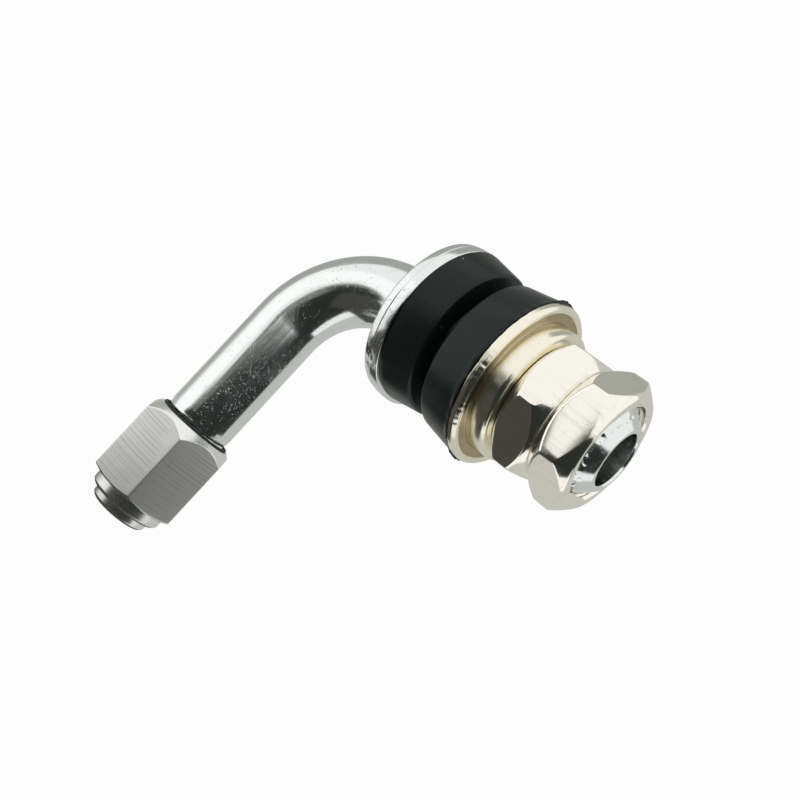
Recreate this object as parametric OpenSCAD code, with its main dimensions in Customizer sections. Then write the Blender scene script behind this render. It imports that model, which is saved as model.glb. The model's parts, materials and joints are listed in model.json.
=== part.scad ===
// Right-angle clamp-in tyre valve with a rubber grommet, hat washer, two jam nuts, dust cap and valve core.
// Millimetres. The origin is the centre of the grommet's rim groove.
// +Z runs along the nut leg towards the nuts, +X along the cap leg towards the cap.

/* [Tube] */
// Outside diameter of the bent tube
tube_d = 7.8; // [7.4:0.1:9]
// Radius of the bend at the tube's centreline
bend_r = 10.3; // [8:0.1:16]
// Straight tube between the flange and the bend
back_len = 2.8; // [1:0.1:8]
// Straight tube from the end of the bend to the threaded mouth
leg_len = 23.7; // [22:0.1:30]
// Diameter of the air passage through the bend
air_d = 3.2; // [2:0.1:3.6]

/* [Clamped stack] */
// Diameter of the washer and of the grommet's front disc
stack_d = 18.2; // [16.4:0.1:22]
// How much wider the flange is
flange_over = 0.1; // [0:0.05:0.6]
// How much wider the grommet's back disc is at the flange
back_disc_over = 0.2; // [0:0.05:0.6]

/* [Flange] */
// Thickness of the flange
flange_t = 2.1; // [1.6:0.1:4]
// Height of the bevelled band at the back of the flange
flange_bevel_h = 1; // [0.4:0.1:1.4]
// Radial depth of the bevelled band
flange_bevel_w = 0.2; // [0.1:0.05:0.6]

/* [Nut leg] */
// Thread diameter of the nut leg
stem_d = 10; // [9:0.1:10.6]
// Length of the nut leg that stands out of the lock nut
stem_proud = 0.9; // [0.2:0.1:4]
// Length of the tapered end of the nut leg
stem_taper_h = 1.6; // [0.4:0.1:3]
// Diameter of the passage in the nut leg
stem_bore_d = 5.8; // [4:0.1:6]
// Widening of the passage's mouth, on the diameter
stem_mouth_flare = 0.3; // [0.2:0.1:1.4]
// Width of the flat ring between the passage's mouth and the taper
stem_rim_w = 0.35; // [0.2:0.05:0.7]

/* [Grommet] */
// Width of the groove that takes the wheel rim
groove_w = 1.7; // [1.2:0.1:4]
// Diameter of the groove's floor, the hole in the wheel rim
rim_hole_d = 11.5; // [11.3:0.1:13]
// Thickness of the disc on the flange side
back_disc_t = 3.8; // [2.5:0.1:6]
// Thickness of the disc on the washer side
front_disc_t = 4.5; // [2.5:0.1:6]
// Taper of each disc towards the groove, on the diameter
disc_taper = 1.2; // [0.4:0.1:2]
// Height of the moulded lip at the washer
lip_h = 0.5; // [0.3:0.1:1]
// How far the lip stands out, on the diameter
lip_flare = 0.7; // [0.2:0.1:1.2]

/* [Washer] */
// Thickness of the brim
washer_t = 0.9; // [0.6:0.1:2]
// Bevel round the brim
washer_bevel = 0.4; // [0.1:0.1:0.5]
// Diameter of the raised collar
collar_d = 14.6; // [13.4:0.1:15.4]
// Height of the collar above the brim
collar_h = 2; // [0.8:0.1:4]
// Flare at the foot of the collar
collar_foot = 0.25; // [0.1:0.05:0.4]

/* [Nuts] */
// Width of each nut across its flats
nut_af = 13; // [12.4:0.1:15]
// Height of each nut
nut_h = 4.5; // [3.6:0.1:7]
// Diameter of the flat ring on each face
nut_face_d = 12.2; // [11.8:0.1:12.4]
// Depth of the chamfer at the corners
nut_chamfer = 1.4; // [0.6:0.1:1.6]
// Flare of the threaded hole at each face, on the diameter
nut_sink = 0.6; // [0.2:0.1:0.8]
// Turn of the inner nut about the leg
inner_nut_turn = 45; // [0:1:59]
// Turn of the lock nut about the leg
lock_nut_turn = 8; // [0:1:59]

/* [Cap] */
// Width of the cap across its flats
cap_af = 10; // [9.4:0.1:12]
// Length of the threaded mouth that the cap covers
cap_cover = 9; // [6:0.1:10]
// Diameter of the ring at the cap's mouth
cap_mouth_d = 9.2; // [8.8:0.1:9.3]
// Depth of the mouth chamfer at the corners
cap_chamfer = 1.4; // [0.6:0.1:2]
// Depth of the chamfer at the closed end's corners
cap_back_chamfer = 0.5; // [0.2:0.1:1]
// Diameter of the round neck behind the flats
cap_neck_d = 8.6; // [7:0.1:9.2]
// Length of the round neck
cap_neck_h = 1.4; // [0.8:0.1:3]
// Diameter of the end boss
cap_boss_d = 6.8; // [4:0.1:6.9]
// Length of the end boss
cap_boss_h = 1.1; // [0.6:0.1:3]
// Edge bevel on the neck and the boss
cap_bevel = 0.3; // [0.1:0.05:0.4]
// Turn of the cap about its leg
cap_turn = 54; // [0:1:59]
// Thickness of the sealing disc in the cap
seal_t = 0.8; // [0.5:0.1:1.5]
// Wire diameter of the ring at the cap's mouth
ring_d = 0.45; // [0.4:0.05:0.8]

/* [Valve mouth] */
// Thread diameter of the mouth
mouth_d = 7.7; // [7.2:0.1:7.8]
// Length of the threaded mouth
mouth_thread_len = 10.2; // [10:0.1:12]
// Chamfer at the mouth's edge
mouth_chamfer = 0.5; // [0.2:0.1:0.7]
// Diameter of the threaded bore for the core
core_bore_d = 5.2; // [5:0.05:5.6]
// Depth of the threaded bore
core_bore_depth = 6.5; // [6:0.1:8]
// Diameter of the chamber below the core's seat
chamber_d = 3.8; // [3.6:0.05:4]
// Length of the conical seat
seat_h = 1.2; // [0.8:0.1:2]
// Spare length of the chamber past the pin at full travel
chamber_spare = 1.4; // [0.6:0.1:3]

/* [Core] */
// Depth of the core head below the mouth
head_depth = 0.9; // [0.5:0.1:1.5]
// Length of the core head
head_h = 4.2; // [3.4:0.1:4.6]
// Height of the bridge that a core key turns
bridge_h = 1.7; // [1.2:0.1:2.2]
// Width of the bridge
bridge_w = 2.4; // [1.8:0.1:2.5]
// Thickness of the bridge above its side windows
bridge_t = 0.9; // [0.6:0.1:1.1]
// Air hole through the core head
head_bore_d = 2.6; // [2.6:0.1:3]
// Outside diameter of the barrel above the gasket
barrel_top_d = 4.4; // [4:0.1:4.6]
// Outside diameter of the barrel under the gasket
barrel_waist_d = 3.1; // [2.9:0.05:3.2]
// Outside diameter of the barrel's lower tube
barrel_d = 2.8; // [2.7:0.05:2.9]
// Bore of the barrel
barrel_bore_d = 2.3; // [2.2:0.05:2.4]
// Hole for the air and the pin below the spring
barrel_hole_d = 1.6; // [1.5:0.05:1.7]
// Length of the barrel
barrel_h = 6.9; // [6.5:0.1:8]
// Height of the ledge that the spring stands on
ledge_h = 2; // [1:0.1:2.5]
// Diameter of the pin
pin_d = 1; // [0.8:0.05:1.1]
// Depth of the pin's tip below the mouth
pin_depth = 0.5; // [0.2:0.1:0.8]
// Travel of the pin when it is pressed
pin_travel = 1.6; // [0.8:0.1:1.8]
// Diameter of the pin's collar
pin_collar_d = 2.1; // [1.9:0.05:2.15]
// Height of the pin's collar
pin_collar_h = 0.4; // [0.3:0.05:0.6]
// Depth of the collar below the top of the barrel
pin_collar_depth = 0.2; // [0.1:0.05:0.4]
// Diameter of the rivet head under the cup
rivet_d = 1.7; // [1.4:0.05:2]
// Height of the rivet head
rivet_h = 0.45; // [0.3:0.05:0.8]
// Outside diameter of the cup
cup_d = 3.2; // [3.1:0.05:3.3]
// Wall of the cup
cup_wall = 0.2; // [0.15:0.05:0.25]
// Thickness of the cup's floor
cup_floor = 0.3; // [0.2:0.05:0.5]
// Thickness of the seal in the cup
seat_seal_t = 0.8; // [0.5:0.05:1.2]
// How far the seal stands out of the cup
seat_seal_proud = 0.1; // [0.05:0.05:0.2]
// Wire diameter of the spring
wire_d = 0.25; // [0.15:0.01:0.26]
// Mean diameter of the spring
coil_d = 1.78; // [1.72:0.01:1.82]
// Turns of the spring
coil_turns = 5.5; // [4:0.5:6]

/* [Fits] */
// Radial clearance of the nuts on the nut leg
nut_clear = 0.06; // [0.03:0.01:0.1]
// Radial clearance of the washer on the nut leg
washer_clear = 0.2; // [0.05:0.01:0.3]
// Radial clearance of the grommet on the nut leg
grommet_clear = 0.03; // [0.02:0.01:0.1]
// Radial clearance of the cap on the mouth's thread
cap_clear = 0.08; // [0.03:0.01:0.12]
// Radial clearance of the sealing disc inside the cap
seal_clear = 0.06; // [0.03:0.01:0.1]
// Radial clearance of the ring on the mouth's thread
ring_clear = 0.1; // [0.05:0.01:0.15]
// Clearance round the core inside the stem
core_clear = 0.05; // [0.03:0.01:0.08]
// Clearance round the pin and between the core's small pieces
pin_clear = 0.03; // [0.02:0.01:0.05]

/* [Hidden] */
$fn = 96;

// Cutters run this far past the face that they open
over = 1;

// Stations along the nut leg
groove_hi = groove_w / 2;
groove_lo = -groove_hi;
grommet_lo = groove_lo - back_disc_t;
grommet_hi = groove_hi + front_disc_t;
flange_lo = grommet_lo - flange_t;
bend_z = flange_lo - back_len;
leg_z = bend_z - bend_r;
brim_hi = grommet_hi + washer_t;
collar_hi = brim_hi + collar_h;
inner_nut_hi = collar_hi + nut_h;
stem_hi = inner_nut_hi + nut_h + stem_proud;

// Stations along the cap leg
mouth_x = bend_r + leg_len;
thread_x = mouth_x - mouth_thread_len;
cap_x = mouth_x - cap_cover;
cap_floor_x = mouth_x + seal_t;
neck_x = cap_floor_x + cap_neck_h;
cap_end_x = neck_x + cap_boss_h;

// Stations of the core, along the cap leg
seat_top_x = mouth_x - core_bore_depth;
seat_low_x = seat_top_x - seat_h;
head_top_x = mouth_x - head_depth;
barrel_top_x = head_top_x - head_h;
barrel_low_x = barrel_top_x - barrel_h;
ledge_x = barrel_low_x + ledge_h;
collar_top_x = barrel_top_x - pin_collar_depth;
collar_low_x = collar_top_x - pin_collar_h;
cup_seat_x = barrel_low_x - seat_seal_t;
cup_low_x = cup_seat_x - cup_floor;
pin_low_x = cup_low_x - rivet_h;
chamber_x = pin_low_x - pin_travel - chamber_spare;

// Radii
stack_r = stack_d / 2;
flange_r = stack_r + flange_over / 2;
back_disc_r = stack_r + back_disc_over / 2;
stem_r = stem_d / 2;
stem_bore_r = stem_bore_d / 2;
stem_mouth_r = stem_bore_r + stem_mouth_flare / 2;
air_r = air_d / 2;
chamber_r = chamber_d / 2;
core_bore_r = core_bore_d / 2;
mouth_r = mouth_d / 2;

// Corner radius of a hexagon from its width across flats
function hex_corner(af) = af / 2 / cos(30);

// Radius of the core's conical seat at a station
function seat_r(x) = chamber_r + (core_bore_r - chamber_r) * (x - seat_low_x) / seat_h;

// Places a shape that is revolved about its own Z axis on the cap leg, with Z as the station along X
module on_cap_leg() {
    translate([0, 0, leg_z])
        rotate([0, 90, 0])
            children();
}

// Bend of a round bar from the nut leg to the cap leg
module bend(d) {
    translate([bend_r, 0, bend_z])
        rotate([90, 0, 0])
            rotate_extrude(angle = 90, start = 180)
                translate([bend_r, 0])
                    circle(d = d);
}

// Hexagon prism whose corners are cut by a chamfer cone at each end
module chamfered_hex(af, h, turn, low_r, low_chamfer, high_r, high_chamfer) {
    corner = hex_corner(af);
    // The cones run on past the corners so that they never end on them
    past = 0.2;
    reach = corner * (1 + past);
    low_slope = low_chamfer / (corner - low_r);
    high_slope = high_chamfer / (corner - high_r);
    intersection() {
        rotate(turn)
            cylinder(r = corner, h = h, $fn = 6);
        rotate_extrude()
            polygon([
                [0, 0],
                [low_r, 0],
                [reach, (reach - low_r) * low_slope],
                [reach, h - (reach - high_r) * high_slope],
                [high_r, h],
                [0, h]
            ]);
    }
}

// Jam nut with large chamfers and a flared threaded hole, standing on Z = 0
module jam_nut(turn) {
    bore_r = stem_r + nut_clear;
    sink = nut_sink / 2;
    difference() {
        chamfered_hex(nut_af, nut_h, turn, nut_face_d / 2, nut_chamfer, nut_face_d / 2, nut_chamfer);
        rotate_extrude()
            polygon([
                [0, -over],
                [bore_r + sink, -over],
                [bore_r + sink, 0],
                [bore_r, sink],
                [bore_r, nut_h - sink],
                [bore_r + sink, nut_h],
                [bore_r + sink, nut_h + over],
                [0, nut_h + over]
            ]);
    }
}

// Flange and threaded nut leg as one turned profile
module nut_leg_body() {
    rotate_extrude()
        polygon([
            [0, flange_lo],
            [flange_r - flange_bevel_w, flange_lo],
            [flange_r, flange_lo + flange_bevel_h],
            [flange_r, grommet_lo],
            [stem_r, grommet_lo],
            [stem_r, stem_hi - stem_taper_h],
            [stem_mouth_r + stem_rim_w, stem_hi],
            [0, stem_hi]
        ]);
}

// Straight tube of the cap leg with its threaded mouth
module cap_leg_body() {
    on_cap_leg()
        rotate_extrude()
            polygon([
                [0, bend_r],
                [tube_d / 2, bend_r],
                [tube_d / 2, thread_x],
                [mouth_r, thread_x + tube_d / 2 - mouth_r],
                [mouth_r, mouth_x - mouth_chamfer],
                [mouth_r - mouth_chamfer, mouth_x],
                [0, mouth_x]
            ]);
}

// Wide passage of the nut leg, down to the air passage of the bend
module nut_leg_passage() {
    rotate_extrude()
        polygon([
            [0, bend_z],
            [air_r, bend_z],
            [air_r, flange_lo],
            [stem_bore_r, flange_lo + stem_bore_r - air_r],
            [stem_bore_r, stem_hi - stem_mouth_r + stem_bore_r],
            [stem_mouth_r, stem_hi],
            [stem_mouth_r, stem_hi + over],
            [0, stem_hi + over]
        ]);
}

// Chamber, conical seat and threaded bore for the core
module core_passage() {
    on_cap_leg()
        rotate_extrude()
            polygon([
                [0, bend_r],
                [air_r, bend_r],
                [air_r, chamber_x - chamber_r + air_r],
                [chamber_r, chamber_x],
                [chamber_r, seat_low_x],
                [core_bore_r, seat_top_x],
                [core_bore_r, mouth_x + over],
                [0, mouth_x + over]
            ]);
}

module bent_stem() {
    color([0.78, 0.80, 0.81])
        difference() {
            union() {
                nut_leg_body();
                translate([0, 0, bend_z])
                    cylinder(d = tube_d, h = back_len + flange_t / 2);
                bend(tube_d);
                cap_leg_body();
            }
            nut_leg_passage();
            bend(air_d);
            core_passage();
        }
}

module grommet() {
    taper = disc_taper / 2;
    bore_r = stem_r + grommet_clear;
    color([0.09, 0.10, 0.11])
        rotate_extrude()
            polygon([
                [bore_r, grommet_lo],
                [back_disc_r, grommet_lo],
                [back_disc_r - taper, groove_lo],
                [rim_hole_d / 2, groove_lo],
                [rim_hole_d / 2, groove_hi],
                [stack_r - taper, groove_hi],
                [stack_r, grommet_hi - lip_h],
                [stack_r + lip_flare / 2, grommet_hi],
                [bore_r, grommet_hi]
            ]);
}

module flange_washer() {
    bore_r = stem_r + washer_clear;
    collar_r = collar_d / 2;
    color([0.82, 0.79, 0.72])
        rotate_extrude()
            polygon([
                [bore_r, grommet_hi],
                [stack_r, grommet_hi],
                [stack_r, brim_hi - washer_bevel],
                [stack_r - washer_bevel, brim_hi],
                [collar_r + collar_foot, brim_hi],
                [collar_r, brim_hi + collar_foot],
                [collar_r, collar_hi - collar_foot],
                [collar_r - collar_foot, collar_hi],
                [bore_r, collar_hi]
            ]);
}

module inner_nut() {
    color([0.80, 0.76, 0.68])
        translate([0, 0, collar_hi])
            jam_nut(inner_nut_turn);
}

module lock_nut() {
    color([0.83, 0.79, 0.71])
        translate([0, 0, inner_nut_hi])
            jam_nut(lock_nut_turn);
}

module cap() {
    bore_r = mouth_r + cap_clear;
    neck_r = cap_neck_d / 2;
    boss_r = cap_boss_d / 2;
    hex_h = cap_floor_x - cap_x;
    color([0.76, 0.77, 0.77])
        on_cap_leg()
            difference() {
                union() {
                    translate([0, 0, cap_x])
                        chamfered_hex(cap_af, hex_h, cap_turn, cap_mouth_d / 2, cap_chamfer,
                            (cap_af - cap_back_chamfer) / 2, cap_back_chamfer);
                    rotate_extrude()
                        polygon([
                            [0, cap_floor_x - cap_neck_h],
                            [neck_r, cap_floor_x - cap_neck_h],
                            [neck_r, neck_x - cap_bevel],
                            [neck_r - cap_bevel, neck_x],
                            [boss_r, neck_x],
                            [boss_r, cap_end_x - cap_bevel],
                            [boss_r - cap_bevel, cap_end_x],
                            [0, cap_end_x]
                        ]);
                }
                translate([0, 0, cap_x - over])
                    cylinder(r = bore_r, h = cap_floor_x - cap_x + over);
            }
}

module cap_seal() {
    color([0.12, 0.12, 0.13])
        on_cap_leg()
            translate([0, 0, mouth_x])
                cylinder(r = mouth_r + cap_clear - seal_clear, h = seal_t);
}

module cap_o_ring() {
    color([0.05, 0.05, 0.06])
        on_cap_leg()
            translate([0, 0, cap_x - ring_d / 2])
                rotate_extrude()
                    translate([mouth_r + ring_clear + ring_d / 2, 0])
                        circle(d = ring_d);
}

module core_head() {
    head_r = core_bore_r - core_clear;
    bridge_x = head_top_x - bridge_h;
    color([0.78, 0.66, 0.38])
        on_cap_leg()
            difference() {
                union() {
                    translate([0, 0, barrel_top_x])
                        cylinder(r = head_r, h = head_h - bridge_h);
                    intersection() {
                        translate([0, 0, bridge_x])
                            cylinder(r = head_r, h = bridge_h);
                        translate([-bridge_w / 2, -head_r, bridge_x])
                            cube([bridge_w, 2 * head_r, bridge_h]);
                    }
                }
                translate([0, 0, barrel_top_x - over])
                    cylinder(d = head_bore_d, h = head_h - bridge_t + over);
                translate([0, 0, barrel_top_x])
                    cylinder(r = pin_d / 2 + core_clear, h = head_h + over);
            }
}

module core_barrel() {
    shoulder_r = chamber_r - core_clear;
    lip = (barrel_d - barrel_hole_d) / 4;
    color([0.80, 0.69, 0.42])
        on_cap_leg()
            rotate_extrude()
                polygon([
                    [barrel_hole_d / 2, barrel_low_x],
                    [barrel_d / 2 - lip, barrel_low_x],
                    [barrel_d / 2, barrel_low_x + lip],
                    [barrel_d / 2, seat_low_x - seat_h / 2],
                    [shoulder_r, seat_low_x - seat_h / 2],
                    [shoulder_r, seat_low_x],
                    [barrel_waist_d / 2, seat_low_x],
                    [barrel_waist_d / 2, seat_top_x],
                    [barrel_top_d / 2, seat_top_x],
                    [barrel_top_d / 2, barrel_top_x],
                    [barrel_bore_d / 2, barrel_top_x],
                    [barrel_bore_d / 2, ledge_x],
                    [barrel_hole_d / 2, ledge_x]
                ]);
}

module core_gasket() {
    low_x = seat_low_x + pin_clear;
    high_x = seat_top_x - pin_clear;
    bore_r = barrel_waist_d / 2 + pin_clear;
    color([0.72, 0.16, 0.12])
        on_cap_leg()
            rotate_extrude()
                polygon([
                    [bore_r, low_x],
                    [seat_r(low_x) - pin_clear, low_x],
                    [seat_r(high_x) - pin_clear, high_x],
                    [bore_r, high_x]
                ]);
}

module core_pin() {
    pin_r = pin_d / 2;
    tip_x = mouth_x - pin_depth;
    color([0.82, 0.74, 0.50])
        on_cap_leg()
            rotate_extrude()
                polygon([
                    [0, pin_low_x],
                    [rivet_d / 2, pin_low_x],
                    [rivet_d / 2, cup_low_x],
                    [pin_r, cup_low_x],
                    [pin_r, collar_low_x],
                    [pin_collar_d / 2, collar_low_x],
                    [pin_collar_d / 2, collar_top_x],
                    [pin_r, collar_top_x],
                    [pin_r, tip_x - pin_r / 2],
                    [pin_r / 2, tip_x],
                    [0, tip_x]
                ]);
}

module core_cup() {
    rim_x = barrel_low_x - seat_seal_proud;
    bore_r = pin_d / 2 + pin_clear;
    color([0.80, 0.70, 0.44])
        on_cap_leg()
            rotate_extrude()
                polygon([
                    [bore_r, cup_low_x],
                    [cup_d / 2, cup_low_x],
                    [cup_d / 2, rim_x],
                    [cup_d / 2 - cup_wall, rim_x],
                    [cup_d / 2 - cup_wall, cup_seat_x],
                    [bore_r, cup_seat_x]
                ]);
}

module core_seat_seal() {
    color([0.14, 0.14, 0.15])
        on_cap_leg()
            translate([0, 0, cup_seat_x])
                difference() {
                    cylinder(r = cup_d / 2 - cup_wall - pin_clear, h = seat_seal_t);
                    translate([0, 0, -over])
                        cylinder(r = pin_d / 2 + pin_clear, h = seat_seal_t + 2 * over);
                }
}

// Round wire swept along a helix: rings of points square to the wire, joined side to side
module coil(low, high, mean_r, wire_r, turns) {
    sides = 8;
    rings = round(turns * 14);
    rise = (high - low) / (turns * 360);
    lead = atan((high - low) / (turns * 2 * PI * mean_r));
    points = [
        for (i = [0:rings], k = [0:sides - 1])
            let (
                turn = turns * 360 * i / rings,
                side = 360 * k / sides,
                r = mean_r + wire_r * cos(side),
                across = wire_r * sin(side)
            )
            [
                r * cos(turn) + across * sin(lead) * sin(turn),
                r * sin(turn) - across * sin(lead) * cos(turn),
                low + rise * turn + across * cos(lead)
            ]
    ];
    walls = [
        for (i = [0:rings - 1], k = [0:sides - 1])
            let (a = i * sides + k, b = i * sides + (k + 1) % sides)
            [a, b, b + sides, a + sides]
    ];
    first = [for (k = [sides - 1:-1:0]) k];
    last = [for (k = [0:sides - 1]) rings * sides + k];
    polyhedron(points, concat(walls, [first, last]));
}

module core_spring() {
    wire_r = wire_d / 2;
    color([0.70, 0.71, 0.72])
        on_cap_leg()
            coil(ledge_x + wire_r + pin_clear, collar_low_x - wire_r - pin_clear, coil_d / 2, wire_r, coil_turns);
}

bent_stem();
grommet();
flange_washer();
inner_nut();
lock_nut();
cap();
cap_seal();
cap_o_ring();
core_head();
core_barrel();
core_gasket();
core_pin();
core_cup();
core_seat_seal();
core_spring();
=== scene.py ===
"""Finishes, threads and studio for a right-angle clamp-in tyre valve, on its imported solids."""

import json
import logging
import math
from collections.abc import Callable, Sequence
from dataclasses import dataclass, field, replace
from enum import Enum
from functools import cache

import bpy
from mathutils import Matrix, Vector, noise


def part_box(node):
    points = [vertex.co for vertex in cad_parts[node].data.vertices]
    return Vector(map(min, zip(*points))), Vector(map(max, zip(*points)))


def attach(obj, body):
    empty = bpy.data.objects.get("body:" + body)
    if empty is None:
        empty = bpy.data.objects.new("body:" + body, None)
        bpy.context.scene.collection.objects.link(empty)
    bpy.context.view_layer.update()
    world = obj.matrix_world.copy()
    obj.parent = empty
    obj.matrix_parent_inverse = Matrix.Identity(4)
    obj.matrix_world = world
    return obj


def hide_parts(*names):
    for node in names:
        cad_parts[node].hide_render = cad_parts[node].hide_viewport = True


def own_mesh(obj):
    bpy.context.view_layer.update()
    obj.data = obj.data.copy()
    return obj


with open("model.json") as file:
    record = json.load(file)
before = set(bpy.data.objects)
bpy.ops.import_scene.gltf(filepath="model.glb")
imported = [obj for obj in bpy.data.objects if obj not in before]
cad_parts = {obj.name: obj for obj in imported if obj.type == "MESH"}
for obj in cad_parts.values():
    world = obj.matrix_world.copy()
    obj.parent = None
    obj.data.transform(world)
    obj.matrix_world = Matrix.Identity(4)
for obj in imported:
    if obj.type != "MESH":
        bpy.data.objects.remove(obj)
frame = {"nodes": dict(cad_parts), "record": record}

LOG = logging.getLogger("tyre_valve")
MM = 0.001
INCH = 25.4
FULL_TURN = 2 * math.pi
SHARP_ANGLE = math.radians(50)
# Largest share of a section's side that one rounded corner takes
ROUNDED_SHARE = 0.48
# Sockets of a colour mix: its share and its two colours, and its result
MIX_INPUTS = (0, 6, 7)
MIX_OUTPUT = 2

Point = tuple[float, float, float]
Range = tuple[float, float]
Section = list[tuple[float, float]]
Colour = tuple[float, float, float]

BLACK: Colour = (0.0, 0.0, 0.0)
WHITE: Colour = (1.0, 1.0, 1.0)
DARK_CARD: Colour = (0.024, 0.028, 0.025)


@cache
def low(node: str) -> Vector:
    """Lowest corner of a CAD node, in millimetres."""
    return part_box(node)[0] / MM


@cache
def high(node: str) -> Vector:
    """Highest corner of a CAD node, in millimetres."""
    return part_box(node)[1] / MM


def outer_radius(node: str) -> float:
    """Half the width of a CAD node across the legs' plane, in millimetres."""
    return (high(node).y - low(node).y) / 2


# Height of the cap leg's axis, in millimetres
LEG_Z = (low("cap_seal").z + high("cap_seal").z) / 2


class Leg(Enum):
    """The two straight legs that the turned pieces are built about."""

    NUT = "nut leg"
    CAP = "cap leg"

    def place(self, radius: float, angle: float, station: float) -> Point:
        """Places a point on the leg, with its lengths in millimetres.

        Args:
            radius: Distance from the leg's axis.
            angle: Angle round the axis, in radians.
            station: Distance along the axis.

        Returns:
            The point in the frame, in metres.
        """
        across = radius * math.cos(angle)
        side = radius * math.sin(angle)
        if self is Leg.NUT:
            return (across * MM, side * MM, station * MM)
        return (station * MM, across * MM, (LEG_Z + side) * MM)


@dataclass(frozen=True)
class StemPath:
    """Centreline of the bent stem, from the nuts down, round the bend and out to the cap.

    A station is the distance along the centreline, which is 0 at the frame's origin.
    """

    bend_radius: float
    bend_top: float

    @property
    def bend_start(self) -> float:
        """Station at which the bend starts."""
        return -self.bend_top

    @property
    def bend_stop(self) -> float:
        """Station at which the bend runs into the cap leg."""
        return self.bend_start + self.bend_radius * math.pi / 2

    def on_cap_leg(self, along: float) -> float:
        """Station of a place on the cap leg, given along X in millimetres."""
        return self.bend_stop + along - self.bend_radius

    def place(self, radius: float, angle: float, station: float) -> Point:
        """Places a point about the centreline, with its lengths in millimetres.

        Args:
            radius: Distance from the centreline.
            angle: Angle round it, in radians, which is 0 on the inside of the bend.
            station: Distance along it.

        Returns:
            The point in the frame, in metres.
        """
        turn = min(max((station - self.bend_start) / self.bend_radius, 0.0), math.pi / 2)
        before = min(station, self.bend_start)
        after = max(station - self.bend_stop, 0.0)
        centre_x = self.bend_radius * (1 - math.cos(turn)) + after
        centre_z = -before - self.bend_radius * math.sin(turn)
        across = radius * math.cos(angle)
        side = radius * math.sin(angle)
        return (
            (centre_x + across * math.cos(turn)) * MM,
            side * MM,
            (centre_z + across * math.sin(turn)) * MM,
        )


@dataclass(frozen=True)
class Thread:
    """A helical groove on a cylinder, in millimetres.

    A positive depth cuts it inwards and a negative one outwards.
    """

    radius: float
    start: float
    stop: float
    pitch: float
    depth: float
    winding: int = -1
    crest: float = 0.14
    root: float = 0.12

    def stations(self, steps: int = 10) -> list[float]:
        """Stations along the thread, close enough together to show its flanks."""
        count = max(2, round((self.stop - self.start) / self.pitch * steps))
        return [self.start + (self.stop - self.start) * i / count for i in range(count + 1)]

    def shape(self, radius: float, angle: float, station: float) -> float:
        """Cuts the thread at a point of the section.

        Args:
            radius: The point's radius before the cut.
            angle: Angle round the axis, in radians.
            station: The point's station.

        Returns:
            The radius after the cut, in millimetres.
        """
        if not self.start < station < self.stop:
            return radius
        phase = (station / self.pitch + self.winding * angle / FULL_TURN) % 1.0
        flank = 1 - abs(2 * phase - 1)
        cut = min(max((flank - self.crest) / (1 - self.crest - self.root), 0.0), 1.0)
        done = (station - self.start) / self.pitch
        left = (self.stop - station) / self.pitch
        runout = min(done, left * 2, 1.0)
        reach = self.radius - self.depth * cut * runout
        return min(radius, reach) if self.depth > 0 else max(radius, reach)


@dataclass(frozen=True)
class Corner:
    """One corner of a section, in millimetres, with the rounding of its edge."""

    radius: float
    station: float
    rounding: float = 0.0


def rounded(corners: Sequence[Corner], closed: bool = False, steps: int = 4) -> Section:
    """Rounds the corners of a section.

    Args:
        corners: The corners in order.
        closed: Whether the last corner joins the first one.
        steps: Pieces of each rounded edge.

    Returns:
        The section's points, the same number for the same kind of corners.
    """
    points: Section = []
    count = len(corners)
    for index, corner in enumerate(corners):
        here = Vector((corner.radius, corner.station))
        at_end = not closed and index in (0, count - 1)
        if at_end or corner.rounding <= 0:
            points.append((here.x, here.y))
            continue
        before = corners[index - 1]
        after = corners[(index + 1) % count]
        to_before = Vector((before.radius, before.station)) - here
        to_after = Vector((after.radius, after.station)) - here
        room = min(to_before.length, to_after.length) * ROUNDED_SHARE
        reach = min(corner.rounding, room)
        first = here + to_before.normalized() * reach
        last = here + to_after.normalized() * reach
        for step in range(steps + 1):
            t = step / steps
            spot = first * (1 - t) ** 2 + here * (2 * t * (1 - t)) + last * t**2
            points.append((spot.x, spot.y))
    return points


def run(first: Corner, last: Corner, count: int) -> Section:
    """Evenly spaced points from one corner to another, with both of them.

    Args:
        first: The corner to start from.
        last: The corner to end at.
        count: Steps between them.

    Returns:
        The points, one more than the steps.
    """
    shares = [i / count for i in range(count + 1)]
    return [
        (
            first.radius + (last.radius - first.radius) * share,
            first.station + (last.station - first.station) * share,
        )
        for share in shares
    ]


def on_circle(angle: float, height: float = 0.0) -> Vector:
    """A place on the unit circle and at a height, where noise is read."""
    return Vector((math.cos(angle), math.sin(angle), height))


def round_angles(count: int) -> list[float]:
    """Angles at equal steps, once round."""
    return [FULL_TURN * i / count for i in range(count)]


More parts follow.
